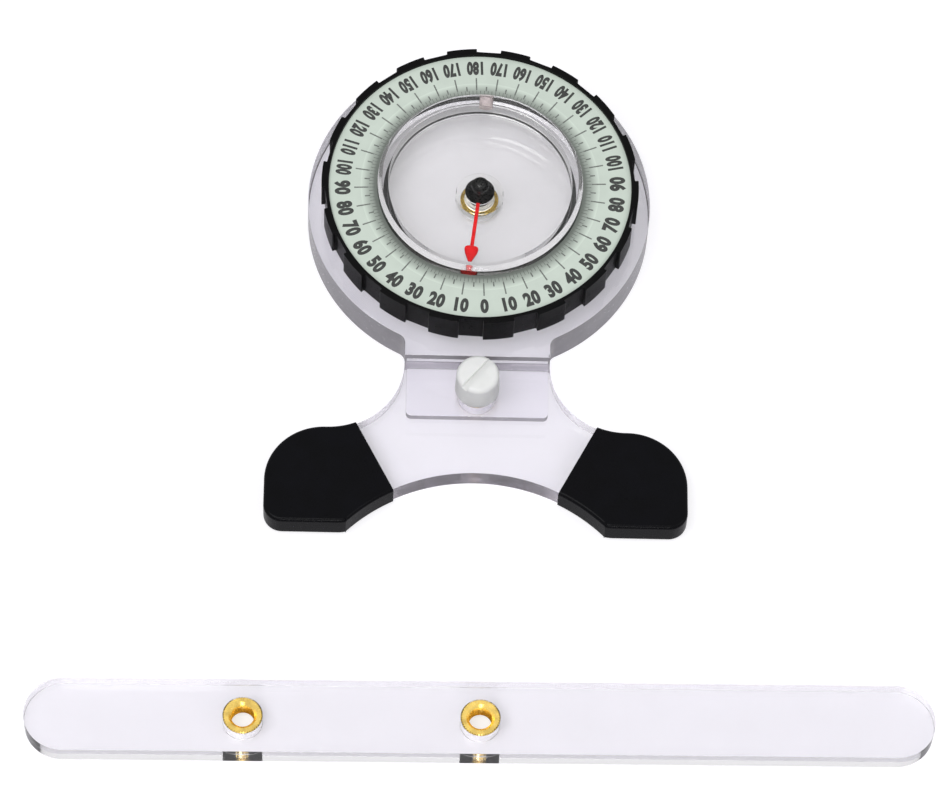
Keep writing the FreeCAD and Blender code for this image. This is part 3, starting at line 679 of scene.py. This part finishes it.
def makeScrew(s):
    height = -s["length"]
    inset, taper, start = s["lead"]
    rings = [(s["root"] - inset, height), (s["root"], height + taper)]
    height += start
    while height < -s["pitch"]:
        rings += [(s["shank"], height), (s["root"], height + s["pitch"] / 2)]
        height += s["pitch"]
    rings += [(s["shank"], height), (s["shank"], 0), (s["head"] - s["lowEdge"], 0), (s["head"], s["lowEdge"])]
    rings += arcPoints((s["top"] - s["edge"], s["height"] - s["edge"]), s["edge"], 0, 90, 6)
    screw = turnSolid("clampScrew", rings, steps=128)
    reach, half = s["slotReach"], s["slotHalf"]
    slot = addBox("slot", (-reach, -half, s["height"] - s["slotDepth"]), (reach, half, s["height"] + 1))
    placePiece(slot, turn=s["slotTurn"])
    combine(screw, slot)
    softenEdges(screw, s["soft"])
    placePiece(screw, *s["place"])
    handOver(screw, nylon, "white_nylon", "screw", "clamp_screw")


makeScrew(screwSizes)
print("screw made")


# Black bezel: ring with finger gaps round the rim, a ledge for the card and cells on its hidden side.
bezelSizes = {"hole": 21.03, "outer": 30, "low": 8.0, "height": 6.6, "pocket": 28.63, "ledge": 5.4,
              "bore": 19.43, "flange": 1.2, "gaps": 18, "gapWidth": 4.6, "gapDepth": 0.75, "turn": 7.28,
              "edge": 0.14, "cells": 9, "cell": (22.6, 27.4, 3.4), "rib": 3}


def makeBezel(s):
    top = s["height"]
    rings = [(s["hole"], 0), (s["outer"], 0), (s["outer"], top), (s["pocket"], top), (s["pocket"], s["ledge"]),
             (s["bore"], s["ledge"]), (s["bore"], s["flange"]), (s["hole"], s["flange"])]
    bezel = turnRing("bezelRing", rings, steps=288)
    cutters = []
    half = s["gapWidth"] / 2
    for count in range(s["gaps"]):
        cutter = addBox("gap", (s["outer"] - s["gapDepth"], -half, -1), (s["outer"] + 3, half, top + 1))
        placePiece(cutter, turn=count * 360 / s["gaps"])
        cutters.append(cutter)
    combine(bezel, joinPieces(cutters, "gaps"))
    inner, outer, depth = s["cell"]
    halfCell = 180 / s["cells"] - s["rib"] / 2
    cells = []
    for count in range(s["cells"]):
        middle = count * 360 / s["cells"]
        points = arcPoints((0, 0), outer, middle - halfCell, middle + halfCell, 24)
        points += arcPoints((0, 0), inner, middle + halfCell, middle - halfCell, 24)
        cells.append(raiseOutline("cell", points, -1, depth))
    combine(bezel, joinPieces(cells, "cells"))
    softenEdges(bezel, s["edge"], 2)
    placePiece(bezel, z=s["low"], turn=s["turn"])
    handOver(bezel, blackPlastic, "black_plastic", "dial", "bezel_ring")


makeBezel(bezelSizes)
print("bezel made")


# Dial card with its printed scale: labels every ten degrees, both ways from the bottom.
# A tick is (inner radius, outer radius, width), and bold is the share of the size that thickens a stroke.
dialSizes = {"bore": 19.43, "radius": 28.6, "low": 13.4, "top": 13.9, "turn": 2.28, "print": 0.012,
             "digitRadius": 26.15, "digitSize": 3.67, "wide": 0.76, "wideHundreds": 0.57, "bold": 0.062,
             "letterSpace": 1.1, "long": (21.1, 23.8, 0.26), "middle": (20.9, 21.9, 0.26),
             "short": (19.9, 21.0, 0.12)}


def makeDialCard(s):
    rings = [(s["bore"], s["low"]), (s["radius"], s["low"]), (s["radius"], s["top"]), (s["bore"], s["top"])]
    card = turnRing("dialCard", rings, steps=256)
    softenEdges(card, 0)
    handOver(card, dialCard, "dial_face", "dial", "dial_card")


def makeTicks(name, s, span, count, skip=None):
    inner, outer, wide = span
    ticks = []
    first = addBox(name, (inner, -wide / 2, s["top"]), (outer, wide / 2, s["top"] + s["print"]))
    for number in range(count):
        if skip and number % skip == 0:
            continue
        tick = copyPiece(first, name)
        placePiece(tick, turn=number * 360 / count + s["turn"] - 90)
        ticks.append(tick)
    bpy.data.objects.remove(first, do_unlink=True)
    return joinPieces(ticks, name)


def makeDigits(s):
    labels = []
    for number in range(36):
        angle = number * 10 + s["turn"] - 90
        value = number * 10 if number <= 18 else 360 - number * 10
        clearSelection()
        bpy.ops.object.text_add(location=(0, 0, 0))
        label = bpy.context.object
        label.data.body = str(value)
        label.data.size = s["digitSize"] * mm
        label.data.align_x = "CENTER"
        label.data.align_y = "CENTER"
        label.data.resolution_u = 4
        label.data.extrude = s["print"] * mm
        label.data.bevel_depth = s["bold"] * label.data.size
        label.data.bevel_resolution = 0
        label.data.space_character = s["letterSpace"]
        bpy.ops.object.convert(target="MESH")
        label = bpy.context.object
        wide = s["wide"] if value < 100 else s["wideHundreds"]
        label.scale = (wide, 1, s["print"] * mm / label.dimensions.z)
        applyPlace()
        away = Vector((math.cos(math.radians(angle)), math.sin(math.radians(angle))))
        place = away * s["digitRadius"]
        placePiece(label, place.x, place.y, s["top"] + s["print"] / 2, turn=angle + 90)
        labels.append(label)
    return joinPieces(labels, "dialDigits")


makeDialCard(dialSizes)
handOver(makeDigits(dialSizes), ink, "black_plastic", "dial")
for piece in (makeTicks("tenDegreeTicks", dialSizes, dialSizes["long"], 36),
              makeTicks("fiveDegreeTicks", dialSizes, dialSizes["middle"], 72, 2),
              makeTicks("twoDegreeTicks", dialSizes, dialSizes["short"], 180)):
    handOver(piece, tickInk, "black_plastic", "dial")
print("dial made")


# Capsule: cover with lens and wall in one, and the clear floor with its boss.
capsuleSizes = {"flange": 21.0, "flangeTop": 9.2, "outer": 19.4, "rim": 0.8, "top": 16.1, "inner": 17.4,
                "roof": 14.7, "seam": 18.3, "low": 8.0, "edge": 0.08, "floorTop": 8.8, "floorRim": 17.37,
                "boss": 4.48, "bossLow": 5.02, "sealRoom": (2.75, 5.93), "spindleBore": 2.12,
                "mouth": (2.65, 8.2)}


def makeCapsule(s):
    rings = [(s["inner"], s["roof"]), (s["inner"], s["low"]), (s["seam"], s["low"]), (s["flange"], s["low"]),
             (s["flange"], s["flangeTop"]), (s["outer"], s["flangeTop"]), (s["outer"], s["top"] - s["rim"]),
             (s["outer"] - s["rim"], s["top"])]
    cover = turnSolid("capsuleCover", rings, steps=256)
    softenEdges(cover, s["edge"], 2, 25)
    handOver(cover, clearCapsule, "clear_capsule", "dial", "capsule_cover")

    def isWetted(face):
        middle = face.center / mm
        inside = middle.to_2d().length < s["inner"] + 0.1
        return inside and middle.z < s["roof"] + 0.05 and middle.z > s["floorTop"] - 1

    def isRim(face):
        return 0.2 < face.normal.z < 0.95 and face.center.z > (s["top"] - s["rim"]) * mm

    def isSide(face):
        outside = near(face.center.to_2d().length, s["outer"] * mm, 0.05)
        return outside and isWall(face) and face.center.z < (s["top"] - s["rim"]) * mm

    def isSeam(face):
        return near(face.center.z, s["low"] * mm) and face.center.to_2d().length < s["seam"] * mm

    paintFaces(cover, wettedCapsule, isWetted)
    # Painted highlight on the rim chamfer.
    paintFaces(cover, rimPaintedHighlight, isRim)
    # Painted shade on the capsule's outer side wall.
    paintFaces(cover, wallPaintedShade, isSide)
    paintFaces(cover, seam, isSeam)

    room, roomTop = s["sealRoom"]
    mouth, mouthLow = s["mouth"]
    bore, boss = s["spindleBore"], s["boss"]
    rings = [(room, s["bossLow"]), (boss, s["bossLow"]), (boss, s["low"]), (s["floorRim"], s["low"]),
             (s["floorRim"], s["floorTop"]), (mouth, s["floorTop"]), (mouth, mouthLow), (bore, mouthLow),
             (bore, roomTop), (room, roomTop)]
    floorDisc = turnRing("capsuleFloor", rings, steps=192)
    softenEdges(floorDisc, 0)
    handOver(floorDisc, clearCapsule, "clear_capsule", "dial", "capsule_floor")

    def isFloorTop(face):
        return face.normal.z > 0.9 and near(face.center.z, s["floorTop"] * mm, 0.1)

    paintFaces(floorDisc, wettedCapsule, isFloorTop)
    paintFaces(floorDisc, greased, lambda face: face.center.z < (s["low"] - 0.1) * mm)


makeCapsule(capsuleSizes)
print("capsule made")


# Brass washer under the boss: its top is painted a pale metal as a highlight, and its edge is turned to a wide
# bevel.
washerSizes = {"bore": 2.1, "radius": 3.35, "flat": 2.9, "low": 4.5, "edgeTop": 4.58, "top": 5.0}


def makeWasher(s):
    rings = [(s["bore"], s["low"]), (s["radius"], s["low"]), (s["radius"], s["edgeTop"]),
             (s["flat"], s["top"]), (s["bore"], s["top"])]
    washer = turnRing("thrustWasher", rings, steps=128)
    softenEdges(washer, 0)
    handOver(washer, brass, "brass", "head", "thrust_washer")
    # Painted highlight on the washer's top flat.
    paintFaces(washer, washerTopPaintedHighlight, lambda face: face.normal.z > 0.95)


makeWasher(washerSizes)
print("washer made")


# Needle: pawn-shaped hub, thin shaft and the arrowhead that hangs down.
# The arrow's shares are (place along its length, width). Its tail is the share where it starts.
needleSizes = {"turn": -6.65, "low": 9.0, "disc": 2.8, "discTop": 0.8, "neck": (1.5, 2.2), "knob": (1.65, 4.2),
               "height": 5.2, "bore": (0.83, 3.1), "discRound": (0.6, 0.1, 0.3, 0.5), "flare": (0.4, 0.6),
               "knobRise": 0.9, "hubEdge": 0.12, "slotSlack": 0.03, "shaftWidth": 0.7,
               "shaft": (9.33, 9.73), "shaftEdge": 0.1, "root": -1.73, "start": -12.1, "length": 3.5,
               "half": 1.35, "arrow": (9.03, 10.03), "arrowEdge": 0.15, "tail": 0.35,
               "shares": [(0.06, 0.85), (0.2, 1), (0.45, 0.84), (0.8, 0.42), (1, 0.2)]}


def makeNeedle(s):
    low = s["low"]
    bore, boreTop = s["bore"]
    neck, neckTop = s["neck"]
    knob, knobTop = s["knob"]
    disc = s["disc"]
    under, lip, lipLow, lipHigh = s["discRound"]
    flare, flareDrop = s["flare"]
    profile = [(bore, boreTop), (bore, 0), (disc - under, 0), (disc - lip, lipLow), (disc, lipHigh),
               (disc - lip, s["discTop"]), (neck + flare, neckTop - flareDrop), (neck, neckTop),
               (knob, knobTop - s["knobRise"]), (knob, knobTop)]
    for degrees in (20, 40, 60, 80):
        angle = math.radians(degrees)
        profile.append((knob * math.cos(angle), knobTop + (s["height"] - knobTop) * math.sin(angle)))
    rings = [(radius, low + height) for radius, height in profile]
    hub = turnSolid("needleHub", rings, steps=96)
    half = s["shaftWidth"] / 2
    slack = s["slotSlack"]
    shaftLow, shaftHigh = s["shaft"]
    slotLow = (-half - slack, -4, shaftLow - slack)
    slot = addBox("slot", slotLow, (half + slack, s["root"] + slack, shaftHigh + slack))
    placePiece(slot, turn=s["turn"])
    combine(hub, slot)
    softenEdges(hub, s["hubEdge"])
    handOver(hub, pivotBlack, "black_plastic", "needle", "needle_hub")
    shaft = addBox("needleShaft", (-half, s["start"] - s["shaftEdge"], shaftLow), (half, s["root"], shaftHigh))
    softenEdges(shaft, s["shaftEdge"], 2)
    placePiece(shaft, turn=s["turn"])
    handOver(shaft, redPaint, "needle_red", "needle", "needle_shaft")
    arrowLow, arrowHigh = s["arrow"]
    tail = s["half"] * s["tail"]
    shares = s["shares"]
    firstEnd = s["start"] - shares[0][0] * s["length"]
    arrow = addBox("needleArrow", (-tail, firstEnd, arrowLow), (tail, s["start"], arrowHigh))
    editPiece(arrow)
    pick(arrow, "FACE", lambda face: face.normal.y < -0.9)
    grow = shares[0][1] / s["tail"]
    bpy.ops.transform.resize(value=(grow, 1, 1), center_override=(0, 0, 0))
    for (along, wide), (nextAlong, nextWide) in zip(shares, shares[1:]):
        reach = -(nextAlong - along) * s["length"] * mm
        bpy.ops.mesh.extrude_region_move(TRANSFORM_OT_translate={"value": (0, reach, 0)})
        bpy.ops.transform.resize(value=(nextWide / wide, 1, 1), center_override=(0, 0, 0))
    bpy.ops.object.mode_set(mode="OBJECT")
    softenEdges(arrow, s["arrowEdge"], 3, 30)
    placePiece(arrow, turn=s["turn"])
    handOver(arrow, redPaint, "needle_red", "needle", "arrow_weight")


makeNeedle(needleSizes)
print("needle made")


# Small hidden pieces keep their shape from the frame and get a finish of their own.
nodeFinishes = {"spindle": blackPlastic, "pivot_pin": steel, "pivot_jewel": jewel, "spindle_seal": sealRubber,
                "fill_plug": plugPlastic}
for name, material in nodeFinishes.items():
    nodes[name].data.materials.clear()
    nodes[name].data.materials.append(material)
print("small pieces finished")


# Stage: pale floor, soft lamps and the camera. The stage's sizes are in metres, the camera's in millimetres.
cameraLook = {"target": (-0.66, -45.83, 13.9), "distance": 923.5, "turn": -2.65, "tilt": 27.921, "roll": 3.585,
              "lens": 189.67, "sensor": 36, "clip": (0.05, 20)}
stageLook = {"middle": (0, -0.05, 0), "size": 6, "drop": 0.00005, "floor": (0.45, 0.442, 0.468, 1),
             "glow": 0.66, "glowInGlass": 0.3, "top": (0.66, 0.66, 0.67), "side": (0.16, 0.15, 0.18),
             "fade": (0.1, 0.75)}
lampLooks = [
    {"name": "softbox", "place": (-0.35, -0.35, 1.15), "size": 0.8, "power": 5.6},
    {"name": "fill", "place": (0.85, -0.3, 0.9), "size": 0.7, "power": 1.4},
    {"name": "front strip", "place": (0, -1.05, 0.55), "size": 0.3, "power": 1.7},
]


def addCamera(look):
    turn = Matrix.Rotation(math.radians(look["turn"]), 4, "Z")
    tilt = Matrix.Rotation(math.radians(look["tilt"]), 4, "X")
    roll = Matrix.Rotation(math.radians(look["roll"]), 4, "Z")
    aim = turn @ tilt @ roll
    data = bpy.data.cameras.new("camera")
    data.lens = look["lens"]
    data.sensor_width = look["sensor"]
    data.clip_start, data.clip_end = look["clip"]
    camera = bpy.data.objects.new("camera", data)
    bpy.context.scene.collection.objects.link(camera)
    place = Vector(look["target"]) * mm + aim.to_3x3().col[2] * look["distance"] * mm
    camera.matrix_world = Matrix.Translation(place) @ aim
    bpy.context.scene.camera = camera


# Where a ray reaches the stage by way of gloss or glass, so that both show the pale background.
def addSeenInGlass(tree):
    path = addNode(tree, "ShaderNodeLightPath")
    seen = addNode(tree, "ShaderNodeMath", operation="MAXIMUM")
    tree.links.new(path.outputs["Is Glossy Ray"], seen.inputs[0])
    tree.links.new(path.outputs["Is Transmission Ray"], seen.inputs[1])
    return path, seen


def addFloor(look):
    clearSelection()
    x, y, z = look["middle"]
    bpy.ops.mesh.primitive_plane_add(size=look["size"], location=(x, y, z - look["drop"]))
    floor = bpy.context.object
    floor.name = "floor"
    material, tree, shader = newMaterial("pale floor")
    paper = {"color": look["floor"], "vary": 0.01, "spot": 30, "grain": 2, "rough": (0.8, 0.9), "bump": 0.02}
    addFinish(tree, shader, paper)
    shader.inputs["Specular IOR Level"].default_value = 0.1
    shader.inputs["Emission Color"].default_value = (1, 1, 1, 1)
    path, seen = addSeenInGlass(tree)
    inGlass = addNode(tree, "ShaderNodeMath", operation="MULTIPLY")
    inGlass.inputs[1].default_value = look["glowInGlass"]
    glow = addNode(tree, "ShaderNodeMath", operation="MULTIPLY_ADD")
    glow.inputs[1].default_value = look["glow"]
    tree.links.new(seen.outputs["Value"], inGlass.inputs[0])
    tree.links.new(path.outputs["Is Camera Ray"], glow.inputs[0])
    tree.links.new(inGlass.outputs["Value"], glow.inputs[2])
    tree.links.new(glow.outputs["Value"], shader.inputs["Emission Strength"])
    floor.data.materials.append(material)


def addWorld(look):
    world = bpy.data.worlds.new("studio")
    bpy.context.scene.world = world
    world.use_nodes = True
    tree = world.node_tree
    tree.nodes.clear()
    output = addNode(tree, "ShaderNodeOutputWorld")
    background = addNode(tree, "ShaderNodeBackground", {"Strength": 1.0})
    place = addNode(tree, "ShaderNodeTexCoord")
    split = addNode(tree, "ShaderNodeSeparateXYZ")
    ramp = addNode(tree, "ShaderNodeValToRGB")
    for stop, position, color in zip(ramp.color_ramp.elements, look["fade"], (look["side"], look["top"])):
        stop.position = position
        stop.color = (*color, 1)
    path, seen = addSeenInGlass(tree)
    anySight = addNode(tree, "ShaderNodeMath", operation="MAXIMUM")
    mix = addNode(tree, "ShaderNodeMix", data_type="RGBA")
    mix.inputs[7].default_value = (1, 1, 1, 1)
    tree.links.new(place.outputs["Generated"], split.inputs["Vector"])
    tree.links.new(split.outputs["Z"], ramp.inputs["Fac"])
    tree.links.new(path.outputs["Is Camera Ray"], anySight.inputs[0])
    tree.links.new(seen.outputs["Value"], anySight.inputs[1])
    tree.links.new(anySight.outputs["Value"], mix.inputs[0])
    tree.links.new(ramp.outputs["Color"], mix.inputs[6])
    tree.links.new(mix.outputs[2], background.inputs["Color"])
    tree.links.new(background.outputs["Background"], output.inputs["Surface"])


def addLamp(look):
    data = bpy.data.lights.new(look["name"], "AREA")
    data.shape = "DISK"
    data.size = look["size"]
    data.energy = look["power"]
    lamp = bpy.data.objects.new(look["name"], data)
    bpy.context.scene.collection.objects.link(lamp)
    place = Vector(look["place"])
    aim = Vector(stageLook["middle"]) - place
    lamp.matrix_world = Matrix.Translation(place) @ aim.to_track_quat("-Z", "Y").to_matrix().to_4x4()


addFloor(stageLook)
addWorld(stageLook)
for lampLook in lampLooks:
    addLamp(lampLook)
addCamera(cameraLook)
bpy.context.scene.view_settings.view_transform = "Standard"
print("stage made")

clearSelection()
